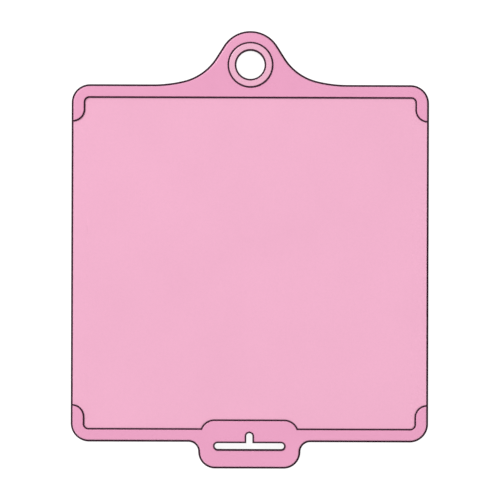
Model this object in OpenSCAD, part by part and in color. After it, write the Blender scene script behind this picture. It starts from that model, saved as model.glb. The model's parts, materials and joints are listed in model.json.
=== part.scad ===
// Scoring board for twelve-inch craft paper, lying flat: X across, Y up the sheet, Z out of the face.
// Pink mouldings (base board, rails, slide-out scoring plate, eyelet) with dark soft trim between them.

/* [Sheet and fences] */
// Side of the square paper sheet that the board takes
sheet = 304.8; // [280:0.1:330]
// Play between the sheet and each fence
sheet_gap = 0.4; // [0.2:0.1:1]
// Width of soft trim that shows along every inner edge
trim_w = 1.5; // [1:0.1:2]
// Width of the bumper's wall, which shows round the outside
bumper_w = 1.9; // [1.2:0.1:2.5]
// Width of the hard fence on each rail
fence_w = 9.4; // [9:0.1:12]
// Radius of the board's corners
corner_r = 15.2; // [14:0.1:18]
// Length of each corner return, from the fence's inner edge to the centre of its round end
return_l = 11.9; // [9:0.1:16]
// Radius of the inner corner between a fence and its return
inner_r = 5.3; // [4:0.1:7]

/* [Hanging ear] */
// Height of the centre of the ear's crown above the board's upper edge
crown_rise = 22.1; // [21:0.1:26]
// Radius of the crown
crown_r = 27.6; // [26:0.1:30]
// Slope of the ear's straight flank, from level
flank_slope = 57.6; // [50:0.1:60]
// Radius of the upper hollow of the flank
flank_r = 51; // [45:0.1:52]
// Slope at which the upper hollow runs into the lower one
foot_slope = 13.4; // [8:0.1:16]
// Radius of the lower hollow of the flank
foot_r = 123.2; // [100:0.1:130]
// Distance of the hanging hole's centre below the crown's
eyelet_drop = 2; // [0:0.1:3]
// Radius of the hanging hole
hole_r = 13; // [10:0.1:13]
// Outer radius of the eyelet's flange
eyelet_r = 19.8; // [18:0.1:20.5]

/* [Hang tab] */
// Half of the hang tab's width
tab_half = 45.5; // [45:0.1:50]
// Radius of the hang tab's outer corners
tab_r = 13.7; // [12:0.1:16]
// Radius of the hollow where the tab leaves the board
neck_r = 10.9; // [8:0.1:12]
// Height of the raised pad's top edge, up from the fence's inner edge
pad_rise = 8.2; // [6:0.1:10]
// Radius of the pad's corners
pad_r = 12; // [10:0.1:14]
// Half of the distance between the centres of the pad's corners
pad_half = 32.4; // [30:0.1:36]
// Length of the slot's level bar
slot_l = 64.3; // [56:0.1:66]
// Width of the slot
slot_w = 5.6; // [4.6:0.1:6]
// Rise of the slot's notch above the middle of its bar
notch_h = 12.1; // [8:0.1:13]
// Distance between the notch and the space that the plate slides in
notch_wall = 1.5; // [1.4:0.1:3]

/* [Thicknesses] */
// Thickness of the bumper's floor, which the board stands on
bumper_t = 1.2; // [1:0.1:2]
// Thickness of the base board
base_t = 3.2; // [3:0.1:5]
// Thickness of the scoring plate
plate_t = 3; // [2.5:0.1:4]
// Thickness of the soft wiper under each fence
wiper_t = 0.8; // [0.6:0.1:1.2]
// Thickness of the fence's lip over the plate
lip_t = 1.8; // [1.6:0.1:3]
// Play above and below the plate
slide_gap = 0.1; // [0.1:0.05:0.3]

/* [Scoring plate] */
// Distance between neighbouring score grooves
groove_pitch = 6.35; // [3.175, 6.35, 12.7]
// Depth of a score groove
groove_d = 0.6; // [0.4:0.1:1]
// How far the plate reaches under each fence
plate_tuck = 1.2; // [0.8:0.1:2]
// Radius of the plate's corners, which nest in the stops at the left
plate_r = 14; // [12:0.1:15]

/* [Fasteners and feet] */
// Diameter of a screw's shank
screw_d = 2.2; // [2:0.1:2.5]
// Diameter of a screw's head
screw_head_d = 4.2; // [4:0.1:4.4]
// Diameter of a centre foot
foot_d = 16; // [12:1:20]
// Distance of each outer foot from the middle one along X and Y, in rib pitches
foot_ribs = 2; // [1, 2, 3]

/* [Hidden] */

$fn = 96;
eps = 0.01;         // overshoot that keeps a cut from ending on a face
arc_step = 1.2;     // longest chord along the outline's arcs
arc_turn = 4;       // largest turn from one chord to the next, in degrees
light_pink = "#F2B3CE";
deep_pink = "#EDA3C6";
plum = "#4A2238";
steel = "#B9BBC0";

// plan
window_half = sheet / 2 + sheet_gap;             // from the middle to a wiper's edge
lip_half = window_half + trim_w;                 // from the middle to a fence's inner edge
half = lip_half + fence_w;                       // from the middle to the board's side
return_y = lip_half - return_l;                  // centre height of a return's round end
return_r = fence_w + trim_w / 2;                 // its radius, about a point on the trim's middle line
crown_y = half + crown_rise;                     // centre height of the ear's crown
eyelet_y = crown_y - eyelet_drop;                // centre height of the hanging hole
ear_top = crown_y + crown_r;
flank_l = (crown_rise + crown_r * cos(flank_slope) - flank_r * (cos(foot_slope) - cos(flank_slope))
           - foot_r * (1 - cos(foot_slope))) / sin(flank_slope);   // straight part of the flank
plate_half = lip_half + plate_tuck;              // from the middle to the plate's upper or lower edge
wall_gap = 0.2;                                  // play between the plate and the rails' feet
heel_y = plate_half - plate_r + 5.9;             // where the stops at the left end, short of a sharp edge
tab_y = -half - neck_r - tab_r;                  // outer edge of the tab
slot_y = -plate_half - wall_gap - notch_wall - notch_h;   // middle of the slot's bar
middle_y = -(ear_top + tab_y) / 2;               // moves the middle of the whole outline to the origin

// heights
z_base = bumper_t;
z_floor = z_base + base_t;
z_plate = z_floor + slide_gap;
z_wiper = z_plate + plate_t + slide_gap;
z_lip = z_wiper + wiper_t;
z_top = z_lip + lip_t;

// eyelet
washer_t = 0.5;
flange_t = 1.2;
flange_chamfer = [0.6, 0.5];
barrel_t = 1.5;                                  // wall of each eyelet barrel
fit_gap = 0.05;                                  // play between nested parts
barrel_r = hole_r + barrel_t;                    // outside of the rear barrel
front_r = barrel_r + fit_gap;                    // inside of the front barrel
ear_hole_r = front_r + barrel_t + 0.1;
bead_z = z_floor + 1;                            // height of the snap bead between the barrels
bead_r = 0.25;
rear_lift = 0.2;                                 // the rear flange's height above the table

// slot liner
sleeve_t = 0.7;
liner_flange_t = 0.6;

// fasteners
screw_edge = 4;                                  // from the board's edge to a screw in a rail's foot
screw_head_t = 1.4;
screw_chamfer = 0.6;
screw_point = 0.8;                               // length of the cone at a screw's tip
screw_top = z_top - 1.8;                         // height of a screw's tip
screw_sunk = 0.4;                                // depth of a head's face below the base board's back
well_d = screw_head_d + 0.6;
recess = [2.4, 0.6, 1.6];                        // an arm of the cross recess: length, width, twice its depth
top_screws = [[-half + 19, half - screw_edge], [-half / 2, half - screw_edge],
              [-40, half + 4], [40, half + 4],
              [half / 2, half - screw_edge], [half - 19, half - screw_edge]];
bottom_screws = [[-half + 19, -half + screw_edge], [-half / 2, -half + screw_edge],
                 [-39.6, slot_y], [39.6, slot_y],
                 [half / 2, -half + screw_edge], [half - 19, -half + screw_edge]];

// base board
pockets = 8;                                     // pockets along each side of the waffle
waffle_edge = 19.7;                              // from the board's side to the waffle's
rib_pitch = 2 * (half - waffle_edge) / pockets;
rib_w = 3;
pocket_d = 1.6;
pocket_r = 3;
nail_r = 16;                                     // fingernail scallop, about a point off the board
nail_x = half + 6;
nail_z = z_floor - 1.8;

// bumper and feet
bumper_floor_w = 8;
boss_d = foot_d + 5;
foot_at = foot_ribs * rib_pitch;                 // the outer feet stand where ribs cross
foot_stem_d = 6;
foot_stem_l = 1;
tread_w = 0.8;                                   // grip rings under a foot
tread_d = 0.3;

// Points along an arc about c, from angle a to angle b
function arc(c, r, a, b) =
    let (n = ceil(abs(b - a) * max(1 / arc_turn, PI / 180 * r / arc_step)))
    [for (i = [0:n]) c + r * [cos(a + (b - a) * i / n), sin(a + (b - a) * i / n)]];

// Right half of the outline grown by d, from the crown clockwise to the foot of the tab
function half_outline(d) =
    let (crown = crown_r + d,
         upper = flank_r - d,
         lower = foot_r - d,
         flank_end = [crown * sin(flank_slope) + flank_l * cos(flank_slope),
                      crown_y + crown * cos(flank_slope) - flank_l * sin(flank_slope)],
         upper_c = flank_end + upper * [sin(flank_slope), cos(flank_slope)],
         lower_c = upper_c + (lower - upper) * [sin(foot_slope), cos(foot_slope)],
         corner = half - corner_r)
    concat(arc([0, crown_y], crown, 90, 90 - flank_slope),
           arc(upper_c, upper, 270 - flank_slope, 270 - foot_slope),
           arc(lower_c, lower, 270 - foot_slope, 270),
           arc([corner, corner], corner_r + d, 90, 0),
           arc([corner, -corner], corner_r + d, 0, -90),
           arc([tab_half + neck_r, -half - neck_r], neck_r - d, 90, 180),
           arc([tab_half - tab_r, -half - neck_r], tab_r + d, 0, -90));

module outline(d = 0) {
    right = half_outline(d);
    n = len(right);
    polygon(concat(right, [for (i = [n - 1:-1:1]) [-right[i][0], right[i][1]]]));
}

module rounded(w, h, r) {
    square([w - 2 * r, h], center = true);
    square([w, h - 2 * r], center = true);
    for (x = [-1, 1], y = [-1, 1])
        translate([x * (w / 2 - r), y * (h / 2 - r)]) circle(r);
}

// Opening between the rails, grown by d: a square with open sides, less the returns' round ends and the pad
module window(d = 0) {
    difference() {
        union() {
            rounded(2 * (lip_half + d), 2 * (lip_half + d), inner_r + d);
            square([2 * half + 20, 2 * return_y], center = true);
        }
        for (x = [-1, 1], y = [-1, 1])
            translate([x * (half + trim_w / 2), y * return_y]) circle(return_r - d);
        pad(-d);
    }
}

// Raised pad round the hang slot, grown by d
module pad(d = 0) {
    pad_top = -lip_half + pad_rise;
    for (x = [-1, 1]) translate([x * pad_half, pad_top - pad_r]) circle(pad_r + d);
    translate([-pad_half, pad_top - 2 * pad_r]) square([2 * pad_half, 2 * pad_r + d]);
}

// Hang slot: a level bar with a notch for the hook, grown by d
module slot(d = 0) {
    w = slot_w + 2 * d;
    bar = slot_l / 2 - slot_w / 2;
    translate([0, slot_y]) {
        square([2 * bar, w], center = true);
        for (x = [-bar, bar]) translate([x, 0]) circle(w / 2);
        translate([-w / 2, 0]) square([w, notch_h - slot_w / 2]);
        translate([0, notch_h - slot_w / 2]) circle(w / 2);
    }
}

// Space that the plate slides in, grown by d, and open at the right
module channel(d = 0) {
    rounded(2 * half + 2 * d, 2 * plate_half + 2 * d, plate_r + d);
    translate([0, -plate_half - d]) square([half + 5, 2 * plate_half + 2 * d]);
}

module slab(z0, z1) {
    translate([0, 0, z0]) linear_extrude(z1 - z0) children();
}

module at_each(places) {
    for (p = places) translate([p[0], p[1], 0]) children();
}

module eyelet_place() {
    translate([0, eyelet_y, 0]) children();
}

module nail_scallop() {
    translate([nail_x, 0, nail_z]) cylinder(r = nail_r, h = z_floor);
}

module foot_places() {
    for (p = [[0, 0], [-1, 1], [1, 1], [-1, -1], [1, -1]])
        translate([p[0] * foot_at, p[1] * foot_at, 0]) children();
}

// --- pieces ---

module base_board() {
    color(deep_pink) difference() {
        slab(z_base, z_floor) outline();
        slab(z_base - eps, z_base + pocket_d) difference() {
            for (i = [0:pockets - 1], j = [0:pockets - 1])
                translate([(i - pockets / 2 + 0.5) * rib_pitch, (j - pockets / 2 + 0.5) * rib_pitch])
                    rounded(rib_pitch - rib_w, rib_pitch - rib_w, pocket_r);
            foot_places() circle(d = boss_d);
        }
        slab(z_base - 1, z_floor + 1) slot(sleeve_t + fit_gap);
        eyelet_place() cylinder(r = ear_hole_r, h = z_top);
        at_each(concat(top_screws, bottom_screws)) {
            cylinder(d = well_d, h = z_base + screw_sunk + screw_head_t);
            cylinder(d = screw_d + 0.6, h = z_top);
        }
        foot_places() cylinder(d = foot_stem_d + 0.2, h = z_base + foot_stem_l + 0.2);
        nail_scallop();
    }
}

// L-section ring round the base board: a wall outside it and a floor under its rim
module edge_bumper() {
    color(plum) difference() {
        slab(0, z_floor) outline(bumper_w);
        slab(-1, z_floor + 1) outline(-bumper_floor_w);
        slab(z_base, z_floor + 1) outline();
        eyelet_place() translate([0, 0, -1]) cylinder(r = eyelet_r + trim_w + 0.4, h = z_top);
        at_each(concat(top_screws, bottom_screws)) translate([0, 0, -1]) cylinder(d = well_d, h = z_top);
        nail_scallop();
    }
}

module rail_blank() {
    difference() {
        slab(z_floor, z_top) difference() {
            outline();
            window();
        }
        slab(z_floor - 1, z_lip) {
            channel(wall_gap);
            translate([-half - 5, -heel_y]) square([half, 2 * heel_y]);
        }
    }
}

module upper_half() {
    slab(-1, z_top + 5) translate([-half - 10, 0]) square([2 * half + 20, 2 * half]);
}

module pilot_holes(places) {
    at_each(places) translate([0, 0, z_floor - 1])
        cylinder(d = screw_d + 0.06, h = screw_top + 1.4 - z_floor);
}

module top_rail() {
    color(deep_pink) difference() {
        intersection() {
            rail_blank();
            upper_half();
        }
        eyelet_place() cylinder(r = ear_hole_r, h = z_top + 1);
        pilot_holes(top_screws);
    }
}

module bottom_rail() {
    color(deep_pink) difference() {
        rail_blank();
        upper_half();
        slab(0, z_top + 1) slot(sleeve_t + fit_gap);
        pilot_holes(bottom_screws);
    }
}

// Flat soft strips bonded under the lips, just clear of the plate: they show as a line along each fence
module wiper_blank() {
    slab(z_wiper, z_lip) difference() {
        intersection() {
            outline();
            channel();
        }
        window(-trim_w);
    }
}

module top_wiper() {
    color(plum) intersection() {
        wiper_blank();
        upper_half();
    }
}

module bottom_wiper() {
    color(plum) difference() {
        wiper_blank();
        upper_half();
    }
}

// Plain above and grooved below; it slides out to the right and goes back either way up
module scoring_plate() {
    grooves = floor((sheet / 2 - 1) / groove_pitch);
    color(light_pink) difference() {
        slab(z_plate, z_plate + plate_t) rounded(2 * half, 2 * plate_half, plate_r);
        for (i = [-grooves:grooves])
            translate([i * groove_pitch, 0, z_plate]) rotate([0, 45, 0])
                cube([groove_d * sqrt(2), 2 * window_half, groove_d * sqrt(2)], center = true);
    }
}

// Front half of the eyelet: a rounded flange and a barrel that clips over the rear half
module eyelet_front() {
    z0 = z_top + washer_t;
    z1 = z0 + flange_t;
    tail_z = z_base + 1;
    color(light_pink) eyelet_place() rotate_extrude() difference() {
        polygon([[front_r, tail_z], [front_r + barrel_t, tail_z], [front_r + barrel_t, z0], [eyelet_r, z0],
                 [eyelet_r, z1 - flange_chamfer[1]], [eyelet_r - flange_chamfer[0], z1], [front_r, z1]]);
        translate([front_r, bead_z]) circle(bead_r + fit_gap);
    }
}

module eyelet_washer() {
    color(plum) eyelet_place() translate([0, 0, z_top]) difference() {
        cylinder(r = eyelet_r + trim_w, h = washer_t);
        translate([0, 0, -1]) cylinder(r = ear_hole_r, h = washer_t + 2);
    }
}

// Rear half of the eyelet: its barrel lines the hanging hole, and a bead on it snaps into the front half
module eyelet_back() {
    z1 = z_top + washer_t + flange_t;
    color(plum) eyelet_place() rotate_extrude() {
        polygon([[hole_r, rear_lift], [eyelet_r + trim_w, rear_lift], [eyelet_r + trim_w, z_base],
                 [barrel_r, z_base], [barrel_r, z1], [hole_r, z1]]);
        translate([barrel_r, bead_z]) intersection() {
            circle(bead_r);
            translate([-bead_r / 2, -bead_r]) square(2 * bead_r);
        }
    }
}

// Soft liner of the hang slot: a thin sleeve, a narrow flange on the face and a wide one behind
module slot_liner() {
    z0 = z_base - liner_flange_t - 0.1;
    z1 = z_top + liner_flange_t;
    color(plum) difference() {
        union() {
            slab(z0, z1) slot(sleeve_t);
            slab(z_top, z1) slot(trim_w);
            slab(z0, z_base) slot(trim_w + 1.5);
        }
        slab(-1, z1 + 1) slot();
    }
}

module screw() {
    head_z = z_base + screw_sunk;
    seat_z = head_z + screw_head_t;
    head = screw_head_d / 2;
    shank = screw_d / 2;
    color(steel) difference() {
        rotate_extrude() polygon([[0, head_z], [head - screw_chamfer, head_z], [head, head_z + screw_chamfer],
                                  [head, seat_z], [shank, seat_z], [shank, screw_top - screw_point],
                                  [shank / 4, screw_top], [0, screw_top]]);
        for (a = [0, 90]) rotate(a) translate([0, 0, head_z]) cube(recess, center = true);
    }
}

module top_rail_screws() {
    at_each(top_screws) screw();
}

module bottom_rail_screws() {
    at_each(bottom_screws) screw();
}

module foot(x, y) {
    color(plum) translate([x * foot_at, y * foot_at, 0]) rotate_extrude() difference() {
        union() {
            square([foot_d / 2, bumper_t]);
            square([foot_stem_d / 2, bumper_t + foot_stem_l]);
        }
        for (r = [2:2:foot_d / 2 - 1.5]) translate([r, -eps]) square([tread_w, tread_d]);
    }
}

translate([0, middle_y, 0]) {
    base_board();
    edge_bumper();
    top_rail();
    bottom_rail();
    top_wiper();
    bottom_wiper();
    scoring_plate();
    eyelet_front();
    eyelet_washer();
    eyelet_back();
    slot_liner();
    top_rail_screws();
    bottom_rail_screws();
    foot(0, 0);  // foot_middle
    foot(-1, 1);  // foot_upper_left
    foot(1, 1);  // foot_upper_right
    foot(-1, -1);  // foot_lower_left
    foot(1, -1);  // foot_lower_right
}
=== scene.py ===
"""Scoring board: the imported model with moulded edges, turned eyelets, materials and a studio."""
import json
import math

import bmesh
import bpy
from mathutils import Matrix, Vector
from mathutils.bvhtree import BVHTree

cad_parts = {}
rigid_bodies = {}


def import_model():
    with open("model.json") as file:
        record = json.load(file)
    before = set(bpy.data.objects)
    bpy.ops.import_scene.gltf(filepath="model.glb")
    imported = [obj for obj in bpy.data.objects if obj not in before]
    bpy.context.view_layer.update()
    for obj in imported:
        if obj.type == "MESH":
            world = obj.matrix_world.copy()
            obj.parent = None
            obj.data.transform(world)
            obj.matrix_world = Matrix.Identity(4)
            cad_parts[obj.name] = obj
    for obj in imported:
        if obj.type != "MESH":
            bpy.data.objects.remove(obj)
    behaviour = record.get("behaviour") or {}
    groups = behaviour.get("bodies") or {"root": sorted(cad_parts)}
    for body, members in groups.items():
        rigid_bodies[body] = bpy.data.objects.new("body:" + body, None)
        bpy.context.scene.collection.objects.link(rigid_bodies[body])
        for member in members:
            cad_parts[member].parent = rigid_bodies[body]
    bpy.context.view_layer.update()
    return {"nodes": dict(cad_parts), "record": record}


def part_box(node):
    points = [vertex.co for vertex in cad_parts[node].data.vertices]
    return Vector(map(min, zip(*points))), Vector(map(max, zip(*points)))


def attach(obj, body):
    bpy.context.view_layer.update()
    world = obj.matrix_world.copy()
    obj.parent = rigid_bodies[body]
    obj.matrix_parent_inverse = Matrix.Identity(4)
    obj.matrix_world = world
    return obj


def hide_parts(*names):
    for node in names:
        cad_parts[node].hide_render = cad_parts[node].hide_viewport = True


for o in list(bpy.data.objects):
    bpy.data.objects.remove(o)
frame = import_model()
nodes = frame["nodes"]
mounts = {m["name"]: m for m in frame["record"]["mounts"]}
MM = 0.001
SAME_POINT = 0.02 * MM              # corners of a CAD mesh that lie closer than this are one
ONE_PLANE = 0.004                   # radians by which neighbour faces may differ and still be one flat face
CORNER = math.radians(30)           # only an edge that turns more than this is rounded
CREASE = math.radians(38)           # an edge that turns more than this is shaded as a crease

# ---------------------------------------------------------------- materials

PANEL_PINK = (0.802, 0.387, 0.546)
RAIL_PINK = (0.756, 0.321, 0.497)
RING_PINK = (0.779, 0.407, 0.546)
PLUM = (0.033, 0.0072, 0.0195)


class Graph:
    """A node material in the making."""

    def __init__(self, name, **sockets):
        self.mat = bpy.data.materials.new(name)
        self.mat.use_nodes = True
        self.tree = self.mat.node_tree
        self.shader = self.tree.nodes["Principled BSDF"]
        for key, value in sockets.items():
            self.shader.inputs[key.replace("_", " ")].default_value = value
        self.place = self.add("ShaderNodeTexCoord").outputs["Object"]

    def add(self, kind, inputs=None, **settings):
        node = self.tree.nodes.new(kind)
        for key, value in settings.items():
            setattr(node, key, value)
        for key, value in (inputs or {}).items():
            self.put(node.inputs[key], value)
        return node

    def put(self, socket, value):
        if isinstance(value, bpy.types.NodeSocket):
            self.tree.links.new(value, socket)
        else:
            socket.default_value = value

    def noise(self, scale, detail=3.0, rough=0.5, stretch=(1, 1, 1)):
        at = self.add("ShaderNodeMapping", {"Vector": self.place, "Scale": stretch}).outputs[0]
        return self.add("ShaderNodeTexNoise", {"Vector": at, "Scale": scale, "Detail": detail,
                                               "Roughness": rough}).outputs["Fac"]

    def ramp(self, value, low, high, to_low=0.0, to_high=1.0):
        return self.add("ShaderNodeMapRange", {"Value": value, "From Min": low, "From Max": high,
                                               "To Min": to_low, "To Max": to_high}).outputs["Result"]

    def axis(self, name):
        return self.add("ShaderNodeSeparateXYZ", {0: self.place}).outputs[name]

    def math(self, operation, a, b=0.0):
        node = self.add("ShaderNodeMath", operation=operation)
        self.put(node.inputs[0], a)
        self.put(node.inputs[1], b)
        return node.outputs[0]

    def mix(self, factor, a, b):
        node = self.add("ShaderNodeMix", data_type="RGBA")
        self.put(node.inputs["Factor"], factor)
        self.put(node.inputs["A"], a)
        self.put(node.inputs["B"], b)
        return node.outputs["Result"]

    def bump(self, height, distance, strength=1.0, normal=None):
        node = self.add("ShaderNodeBump", {"Height": height, "Distance": distance, "Strength": strength})
        if normal is not None:
            self.put(node.inputs["Normal"], normal)
        return node.outputs["Normal"]

    def set(self, **links):
        for key, value in links.items():
            self.put(self.shader.inputs[key.replace("_", " ")], value)


def shade(colour, factor):
    return tuple(min(1.0, c * factor) for c in colour[:3]) + (1.0,)


def edge_mask(g, radius=0.6 * MM):
    """1 near convex and concave edges, 0 on open faces."""
    round_normal = g.add("ShaderNodeBevel", {"Radius": radius}, samples=6).outputs["Normal"]
    normal = g.add("ShaderNodeNewGeometry").outputs["Normal"]
    dot = g.add("ShaderNodeVectorMath", operation="DOT_PRODUCT")
    g.put(dot.inputs[0], round_normal)
    g.put(dot.inputs[1], normal)
    return g.ramp(dot.outputs["Value"], 0.995, 0.90)


def moulded(name, colour, roughness, grain, wear=0.35, coat=0.0, gloss=0.5, relief=None):
    """Injection-moulded plastic: spark-eroded grain, faint flow shading, handling polish and paler edges.

    relief(g) gives the height of any mark that the mould leaves, from 0 to 1."""
    g = Graph(name, Coat_Weight=coat, Coat_Roughness=0.25, Specular_IOR_Level=gloss)
    flow = g.noise(9.0, 2.0, stretch=(1.0, 2.2, 1.0))
    speck = g.noise(420.0, 4.0)
    scuff = g.math("MULTIPLY", edge_mask(g), g.ramp(g.noise(160.0, 5.0, 0.65), 0.44, 0.62, 0.0, wear))
    tone = g.mix(g.ramp(flow, 0.3, 0.7), shade(colour, 0.985), shade(colour, 1.015))
    tone = g.mix(g.ramp(speck, 0.35, 0.75, 0.0, 0.10), tone, shade(colour, 0.90))
    tone = g.mix(scuff, tone, tuple(c + (1 - c) * 0.35 for c in colour[:3]) + (1.0,))
    polish = g.ramp(g.noise(26.0, 4.0), 0.3, 0.7, roughness - 0.05, roughness + 0.06)
    g.set(Base_Color=tone, Roughness=g.math("ADD", polish, g.math("MULTIPLY", scuff, 0.3)))
    pebble = g.add("ShaderNodeTexVoronoi", {"Vector": g.place, "Scale": 1050.0, "Randomness": 0.95},
                   feature="SMOOTH_F1").outputs["Distance"]
    fine = g.bump(pebble, grain, 0.7, g.bump(g.noise(2400.0, 3.0, 0.6), 0.3 * grain, 0.7))
    if relief is not None:
        fine = g.bump(relief(g), 0.12 * MM, 1.0, fine)
    g.set(Normal=g.bump(g.noise(14.0, 1.0), 0.12 * MM, 0.25, fine))
    return g.mat


def parting_line(z):
    """A faint ridge at height z, where the halves of the mould met."""
    def relief(g):
        away = g.math("ABSOLUTE", g.math("SUBTRACT", g.axis("Z"), z))
        return g.ramp(away, 0.0, 0.07 * MM, 1.0, 0.0)
    return relief


def ejector_marks(pitch, origin, radius):
    """Shallow round marks that ejector pins leave, one in the middle of each square of side pitch."""
    def relief(g):
        away = []
        for axis, start in zip("XY", origin):
            cell = g.math("PINGPONG", g.math("SUBTRACT", g.axis(axis), start), pitch)
            away.append(g.math("SUBTRACT", g.math("PINGPONG", cell, pitch), 0.5 * pitch))
        flat = g.math("ADD", g.math("POWER", away[0], 2.0), g.math("POWER", away[1], 2.0))
        return g.ramp(g.math("SQRT", flat), radius - 0.12 * MM, radius, 0.0, 1.0)
    return relief


def scored_plate(name, colour):
    """The plate's matte face: fine grain, hairline scratches and the burnished tracks of a bone folder."""
    g = Graph(name)
    speck = g.noise(620.0, 5.0, 0.6)
    cloud = g.noise(11.0, 3.0)
    tone = g.mix(g.ramp(cloud, 0.3, 0.7), shade(colour, 0.988), shade(colour, 1.012))
    tone = g.mix(g.ramp(speck, 0.4, 0.7, 0.0, 0.22), tone, shade(colour, 0.86))
    # hairlines run nearly along the sheet's edges, where paper and folder are drawn
    down = g.noise(180.0, 3.0, 0.7, stretch=(6.0, 0.10, 1.0))
    across = g.noise(150.0, 3.0, 0.7, stretch=(0.08, 5.0, 1.0))
    hair = g.math("MAXIMUM", g.ramp(down, 0.62, 0.70), g.ramp(across, 0.64, 0.72, 0.0, 0.7))
    hair = g.math("MULTIPLY", hair, g.ramp(g.noise(16.0, 2.0), 0.38, 0.62))
    tone = g.mix(g.math("MULTIPLY", hair, 0.30), tone, shade(colour, 1.12))
    scuff = g.math("MULTIPLY", edge_mask(g, 0.4 * MM), g.ramp(g.noise(200.0, 5.0, 0.6), 0.42, 0.62, 0.0, 0.4))
    tone = g.mix(scuff, tone, shade(colour, 1.18))
    rub = g.ramp(g.noise(20.0, 4.0, 0.55), 0.3, 0.7, 0.40, 0.52)
    g.set(Base_Color=tone, Roughness=g.math("SUBTRACT", rub, g.math("MULTIPLY", hair, 0.16)))
    fine = g.bump(g.noise(1100.0, 5.0, 0.6), 0.10 * MM, 1.0)
    g.set(Normal=g.bump(hair, -0.04 * MM, 1.0, fine))
    return g.mat


def rubber(name, colour):
    """Soft moulded elastomer: dusty matte grain that greys a little on its worn edges."""
    g = Graph(name, Specular_IOR_Level=0.22)
    dust = g.ramp(g.noise(60.0, 5.0, 0.6), 0.45, 0.75, 0.0, 0.35)
    scuff = g.math("MULTIPLY", edge_mask(g, 0.3 * MM), g.ramp(g.noise(240.0, 4.0), 0.4, 0.65, 0.0, 0.6))
    tone = g.mix(dust, colour + (1.0,), shade(colour, 1.5))
    tone = g.mix(scuff, tone, shade(colour, 2.6))
    g.set(Base_Color=tone, Roughness=g.ramp(g.noise(35.0, 4.0), 0.3, 0.7, 0.55, 0.72))
    g.set(Normal=g.bump(g.noise(1500.0, 4.0, 0.65), 0.09 * MM, 1.0))
    return g.mat


def plated_steel(name):
    """Zinc-plated screw steel, unevenly bright and rubbed."""
    g = Graph(name, Metallic=1.0)
    tint = g.noise(300.0, 3.0)
    tone = g.mix(g.ramp(tint, 0.3, 0.7), (0.56, 0.57, 0.60, 1.0), (0.70, 0.70, 0.69, 1.0))
    rub = g.ramp(g.noise(1400.0, 4.0, 0.7), 0.3, 0.7, 0.30, 0.48)
    g.set(Base_Color=tone, Roughness=rub, Normal=g.bump(g.noise(6000.0, 2.0), 0.002 * MM, 0.4))
    return g.mat


rail_foot, rail_top = (corner.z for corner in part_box("top_rail"))
feet = [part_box("foot_middle"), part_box("foot_upper_right")]
foot_at = [(low + high) / 2 for low, high in feet]
rib_pitch = (foot_at[1].x - foot_at[0].x) / 2   # two pockets from the middle foot to each outer one
pin_r = 3.0 * MM                                # radius of the mould's ejector pins

rail_pink = moulded("rail_pink_moulded", RAIL_PINK, 0.34, 0.075 * MM,
                    relief=parting_line((rail_foot + rail_top) / 2))
back_pink = moulded("back_pink_moulded", RAIL_PINK, 0.46, 0.07 * MM, wear=0.2,
                    relief=ejector_marks(rib_pitch, foot_at[0][:2], pin_r))
ring_pink = moulded("eyelet_pink_moulded", RING_PINK, 0.25, 0.012 * MM, wear=0.2, coat=0.2)
plate_pink = scored_plate("plate_pink_matte", PANEL_PINK)
plum_soft = rubber("plum_elastomer", PLUM)
plum_hard = moulded("plum_moulded", PLUM, 0.46, 0.015 * MM, wear=0.08, gloss=0.22)
steel = plated_steel("zinc_plated_steel")

# ------------------------------------------------------------------- pieces


def clean_copy(node):
    """A CAD node's mesh, with split corners joined and each flat face in one."""
    bm = bmesh.new()
    bm.from_mesh(nodes[node].data)
    bmesh.ops.remove_doubles(bm, verts=bm.verts[:], dist=SAME_POINT)
    bmesh.ops.dissolve_limit(bm, angle_limit=ONE_PLANE, verts=bm.verts[:], edges=bm.edges[:])
    return bm


def round_edges(bm, edges, width, segments):
    bmesh.ops.bevel(bm, geom=edges, offset=width, offset_type="OFFSET", segments=segments, profile=0.5,
                    affect="EDGES", clamp_overlap=False, miter_outer="SHARP", loop_slide=False)


def settle(bm):
    """Joins points that an operation left in one place, and splits the faces with many corners."""
    bmesh.ops.remove_doubles(bm, verts=bm.verts[:], dist=1e-6)
    bmesh.ops.triangulate(bm, faces=[f for f in bm.faces if len(f.verts) > 4])


def mesh_from(bm, name):
    mesh = bpy.data.meshes.new(name)
    bm.to_mesh(mesh)
    bm.free()
    return mesh


def in_scene(name, data):
    obj = bpy.data.objects.new(name, data)
    bpy.context.scene.collection.objects.link(obj)
    return obj


def place(mesh, name, material, slot, body, *stood_for):
    """Makes a piece of a mesh: it rides a body and stands for the named CAD nodes."""
    mesh.materials.clear()
    mesh.materials.append(material)
    for stale in ("custom_normal", "sharp_edge"):       # these fit the CAD mesh's faces, not the new ones
        if stale in mesh.attributes:
            mesh.attributes.remove(mesh.attributes[stale])
    mesh.update()
    for polygon in mesh.polygons:
        polygon.use_smooth = True
    mesh.set_sharp_from_angle(angle=CREASE)
    obj = in_scene(name, mesh)
    weighted = obj.modifiers.new("weighted_normals", "WEIGHTED_NORMAL")
    weighted.keep_sharp = True
    weighted.weight = 100
    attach(obj, body)
    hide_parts(*stood_for)


def refine(node, name, material, slot, body, *cuts):
    """A copy of a CAD node with clean faces and moulded edges. Each cut is (pick, width, segments)."""
    bm = clean_copy(node)
    for pick, width, segments in cuts:
        edges = [e for e in bm.edges if e.is_manifold and e.calc_face_angle() > CORNER and pick(e)]
        round_edges(bm, edges, width, segments)
    settle(bm)
    place(mesh_from(bm, name), name, material, slot, body, node)


def level(z):
    """Edges that lie at height z."""
    return lambda e: all(abs(v.co.z - z) < 0.02 * MM for v in e.verts)


def both(*picks):
    return lambda e: all(pick(e) for pick in picks)


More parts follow.
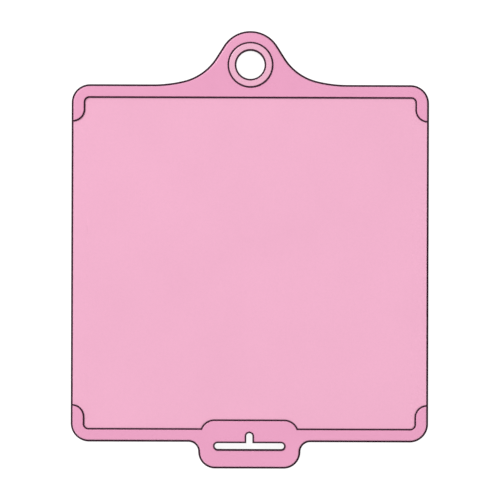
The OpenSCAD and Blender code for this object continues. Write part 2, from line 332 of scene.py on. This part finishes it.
def clear(e):
    """Edges that neither the eyelet's washer nor the slot liner's flange covers."""
    p = (e.verts[0].co + e.verts[1].co) / 2
    middle = (eyelet[0] + eyelet[1]) / 2
    by_eyelet = math.hypot(p.x - middle.x, p.y - middle.y) < (eyelet[1].x - eyelet[0].x) / 2 + 0.5 * MM
    low, high = liner
    return not by_eyelet and not (low.x < p.x < high.x and low.y < p.y < high.y)


base_tree = BVHTree.FromObject(nodes["base_board"], bpy.context.evaluated_depsgraph_get())
plate_low, plate_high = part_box("scoring_plate")
board_low, board_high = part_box("base_board")
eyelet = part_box("eyelet_washer")
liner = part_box("slot_liner")
wiper_low, wiper_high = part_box("top_wiper")
bumper_low, bumper_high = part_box("edge_bumper")


def on_rim(e):
    """Edges on the board's own outline: an upright face beside them looks away from the board."""
    mid = (e.verts[0].co + e.verts[1].co) / 2
    for f in e.link_faces:
        if abs(f.normal.z) < 0.1:
            return not over_board(mid + f.normal * 0.5 * MM)
    return False


def off_rim(e):
    return not on_rim(e)


def pocket_rim(e):
    """Edges of the waffle's pockets and of the bosses in them, told by an upright face under 2 mm high."""
    p = (e.verts[0].co + e.verts[1].co) / 2
    if max(abs(p.x - foot_at[0].x), abs(p.y - foot_at[0].y)) > 4 * rib_pitch:
        return False
    return any(abs(f.normal.z) < 0.1 and max(v.co.z for v in f.verts) < board_low.z + 2 * MM
               and min(v.co.z for v in f.verts) > board_low.z - 0.1 * MM for f in e.link_faces)


def over_board(p):
    """True where the base board is right below or above this point in plan."""
    return base_tree.ray_cast(Vector((p.x, p.y, 1.0)), Vector((0, 0, -1)))[0] is not None


for rail in ("top_rail", "bottom_rail"):
    refine(rail, rail + "_moulding", rail_pink, "rail_pink", "board",
           (both(level(rail_top), clear, on_rim), 1.1 * MM, 5),
           (both(level(rail_top), clear, off_rim), 0.55 * MM, 3),
           (both(level(rail_foot), clear, on_rim), 0.22 * MM, 2))

refine("base_board", "base_board_moulding", back_pink, "rail_pink", "board",
       (both(level(board_high.z), clear, on_rim), 0.22 * MM, 2),
       (both(level(board_low.z), pocket_rim), 0.35 * MM, 2))


def grooved_plate(name, material):
    """The sheet with softened rims, and its score grooves cut right through them from side to side."""
    bm = clean_copy("scoring_plate")
    roots = [v.co for v in bm.verts if plate_low.z + 0.1 * MM < v.co.z < plate_high.z - 0.1 * MM]
    lines = sorted({round(p.x, 5) for p in roots})
    depth = max(p.z for p in roots) - plate_low.z
    bmesh.ops.delete(bm, geom=[f for f in bm.faces if f.normal.z < 0.999], context="FACES")
    grown = bmesh.ops.extrude_face_region(bm, geom=bm.faces[:])["geom"]
    for part in grown:
        if isinstance(part, bmesh.types.BMVert):
            part.co.z = plate_low.z
    bmesh.ops.recalc_face_normals(bm, faces=bm.faces[:])
    round_edges(bm, [e for e in bm.edges if e.verts[0].co.z == e.verts[1].co.z], 0.4 * MM, 3)
    sheet = in_scene("sheet", mesh_from(bm, "sheet"))
    plough = in_scene("plough", mesh_from(vee_bars(lines, depth), "plough"))

    cut = sheet.modifiers.new("grooves", "BOOLEAN")
    cut.operation = "DIFFERENCE"
    cut.solver = "EXACT"
    cut.object = plough
    bm = bmesh.new()
    bm.from_object(sheet, bpy.context.evaluated_depsgraph_get())
    for obj in (sheet, plough):
        bpy.data.meshes.remove(obj.data)
    settle(bm)
    place(mesh_from(bm, name), name, material, "plate_pink", "plate", "scoring_plate")


def vee_bars(lines, depth):
    """Three-sided bars along Y at each x in lines. They cut to depth and reach out past the plate."""
    bm = bmesh.new()
    over = 1 * MM
    corners = ((-depth - over, -over), (depth + over, -over), (0, depth))
    for x in lines:
        ends = [[bm.verts.new((x + dx, y, plate_low.z + dz)) for dx, dz in corners]
                for y in (plate_low.y - over, plate_high.y + over)]
        (a, b, c), (d, e, f) = ends
        for face in ((a, b, c), (f, e, d), (b, a, d, e), (c, b, e, f), (a, c, f, d)):
            bm.faces.new(face)
    bmesh.ops.recalc_face_normals(bm, faces=bm.faces[:])
    return bm


grooved_plate("scoring_plate_sheet", plate_pink)

for wiper in ("top_wiper", "bottom_wiper"):
    refine(wiper, wiper + "_strip", plum_soft, "plum_rubber", "board",
           (level(wiper_high.z), 0.28 * MM, 3), (level(wiper_low.z), 0.28 * MM, 3))

refine("edge_bumper", "edge_bumper_ring", plum_soft, "plum_rubber", "board",
       (both(level(bumper_high.z), on_rim), 0.45 * MM, 3),
       (both(level(bumper_low.z), on_rim), 0.35 * MM, 3))
refine("slot_liner", "slot_liner_sleeve", plum_soft, "plum_rubber", "board",
       (level(liner[1].z), 0.22 * MM, 3), (level(liner[0].z), 0.2 * MM, 2))


def turned(node, name, material, slot, profile):
    """A ring turned about the eyelet's axis from a closed profile of (radius, height) in metres."""
    bm = bmesh.new()
    steps = 144
    rings = []
    for i in range(steps):
        a = 2 * math.pi * i / steps
        rings.append([bm.verts.new((hole.x + r * math.cos(a), hole.y + r * math.sin(a), z))
                      for r, z in profile])
    for i in range(steps):
        here, there = rings[i], rings[(i + 1) % steps]
        for j in range(len(profile)):
            k = (j + 1) % len(profile)
            bm.faces.new((here[j], there[j], there[k], here[k]))
    bmesh.ops.recalc_face_normals(bm, faces=bm.faces[:])
    place(mesh_from(bm, name), name, material, slot, "board", node)


def round_over(r, z, radius, start, end, steps=6):
    """Points of a rounded corner about (r, z), from one angle to another in degrees."""
    turns = [math.radians(start + (end - start) * i / steps) for i in range(steps + 1)]
    return [(r + radius * math.cos(a), z + radius * math.sin(a)) for a in turns]


front_low, front_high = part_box("eyelet_front")
back_low, back_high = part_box("eyelet_back")
hole = (eyelet[0] + eyelet[1]) / 2
bore = mounts["hanging_hole"]["dims"]["r_mm"] * MM
wall = 1.5 * MM                          # thickness of each barrel
seat = eyelet[1].z                       # the washer's top, where the front flange sits
front_r = (front_high.x - front_low.x) / 2
back_r = (back_high.x - back_low.x) / 2
front_bore = bore + wall + 0.05 * MM
turned("eyelet_washer", "eyelet_washer_disc", plum_soft, "plum_rubber",
       [(front_bore + wall + 0.1 * MM, eyelet[1].z), (front_bore + wall + 0.1 * MM, eyelet[0].z),
        (back_r, eyelet[0].z)] + round_over(back_r - 0.2 * MM, eyelet[1].z - 0.2 * MM, 0.2 * MM, 0, 90, 4))
turned("eyelet_front", "eyelet_front_cap", ring_pink, "plate_pink",
       [(front_bore, front_low.z + 0.4 * MM), (front_bore + 0.4 * MM, front_low.z),
        (front_bore + wall, front_low.z), (front_bore + wall, seat), (front_r - 0.15 * MM, seat)]
       + round_over(front_r - 0.75 * MM, front_high.z - 0.75 * MM, 0.75 * MM, 0, 90)
       + round_over(front_bore + 0.35 * MM, front_high.z - 0.35 * MM, 0.35 * MM, 90, 180, 4))
turned("eyelet_back", "eyelet_back_barrel", plum_hard, "plum_plastic",
       round_over(bore + 0.5 * MM, back_high.z - 0.5 * MM, 0.5 * MM, 180, 90)
       + round_over(bore + wall - 0.25 * MM, back_high.z - 0.25 * MM, 0.25 * MM, 80, 0, 3)
       + [(bore + wall, board_low.z), (back_r - 0.3 * MM, board_low.z)]
       + round_over(back_r - 0.3 * MM, back_low.z + 0.3 * MM, 0.3 * MM, 0, -90, 4)
       + round_over(bore + 0.5 * MM, back_low.z + 0.5 * MM, 0.5 * MM, 270, 180, 5))
for rail in ("top_rail", "bottom_rail"):
    refine(rail + "_screws", rail + "_screw_set", steel, "screw_steel", "board")
for foot in ("foot_middle", "foot_upper_left", "foot_upper_right", "foot_lower_left", "foot_lower_right"):
    refine(foot, foot + "_pad", plum_soft, "plum_rubber", "board", (level(0.0), 0.15 * MM, 2))

# ------------------------------------------------------------------- studio

mesh = bpy.data.meshes.new("studio_floor")
side = 40.0
mesh.from_pydata([(-side, -side, 0), (side, -side, 0), (side, side, 0), (-side, side, 0)], [], [(0, 1, 2, 3)])
floor = in_scene("studio_floor", mesh)
g = Graph("studio_floor", Base_Color=(0.30, 0.30, 0.30, 1.0), Roughness=0.9, Specular_IOR_Level=0.1,
          Emission_Color=(1.0, 1.0, 1.0, 1.0))
# the floor looks white, and lights the object more softly than it looks
g.set(Emission_Strength=g.ramp(g.add("ShaderNodeLightPath").outputs["Is Camera Ray"], 0.0, 1.0, 0.58, 0.90))
# seen from below it isn't there
below = g.add("ShaderNodeNewGeometry").outputs["Backfacing"]
nothing = g.add("ShaderNodeBsdfTransparent").outputs[0]
either = g.add("ShaderNodeMixShader", {0: below, 1: g.shader.outputs[0], 2: nothing})
g.put(g.tree.nodes["Material Output"].inputs["Surface"], either.outputs[0])
mesh.materials.append(g.mat)
floor.visible_shadow = False

world = bpy.data.worlds.new("studio")
bpy.context.scene.world = world
world.use_nodes = True
background = world.node_tree.nodes["Background"]
background.inputs["Color"].default_value = (1.0, 1.0, 1.0, 1.0)
# the backdrop is white, while the light that it gives is softer
direct = world.node_tree.nodes.new("ShaderNodeLightPath").outputs["Is Camera Ray"]
strength = world.node_tree.nodes.new("ShaderNodeMapRange")
strength.inputs["To Min"].default_value = 0.44
strength.inputs["To Max"].default_value = 1.0
world.node_tree.links.new(direct, strength.inputs["Value"])
world.node_tree.links.new(strength.outputs["Result"], background.inputs["Strength"])


def soft_light(name, at, size, power):
    """A square lamp that faces the board."""
    lamp = bpy.data.lights.new(name, "AREA")
    lamp.shape = "SQUARE"
    lamp.size = size
    lamp.energy = power
    obj = in_scene(name, lamp)
    obj.location = at
    obj.rotation_euler = (-Vector(at)).to_track_quat("-Z", "Y").to_euler()
    obj.visible_camera = False


soft_light("key", (-3.4, 3.0, 5.2), 2.6, 318)
soft_light("fill", (3.2, -2.6, 5.2), 4.0, 121)
soft_light("under_key", (-2.6, -2.2, -1.8), 1.4, 50)
soft_light("under_fill", (1.6, 1.4, -2.2), 2.4, 8)

cam = bpy.data.cameras.new("camera")
cam.lens = 400.0
cam.sensor_width = 36.0
cam.clip_start = 0.1
cam.clip_end = 100.0
span = 0.4628          # width of the view at the rails' top face
cam_obj = in_scene("camera", cam)
cam_obj.location = (0.07 * MM, -0.19 * MM, rail_top + span * cam.lens / cam.sensor_width)
cam_obj.rotation_euler = (0, 0, math.radians(0.178))
bpy.context.scene.camera = cam_obj
bpy.context.scene.view_settings.view_transform = "Standard"
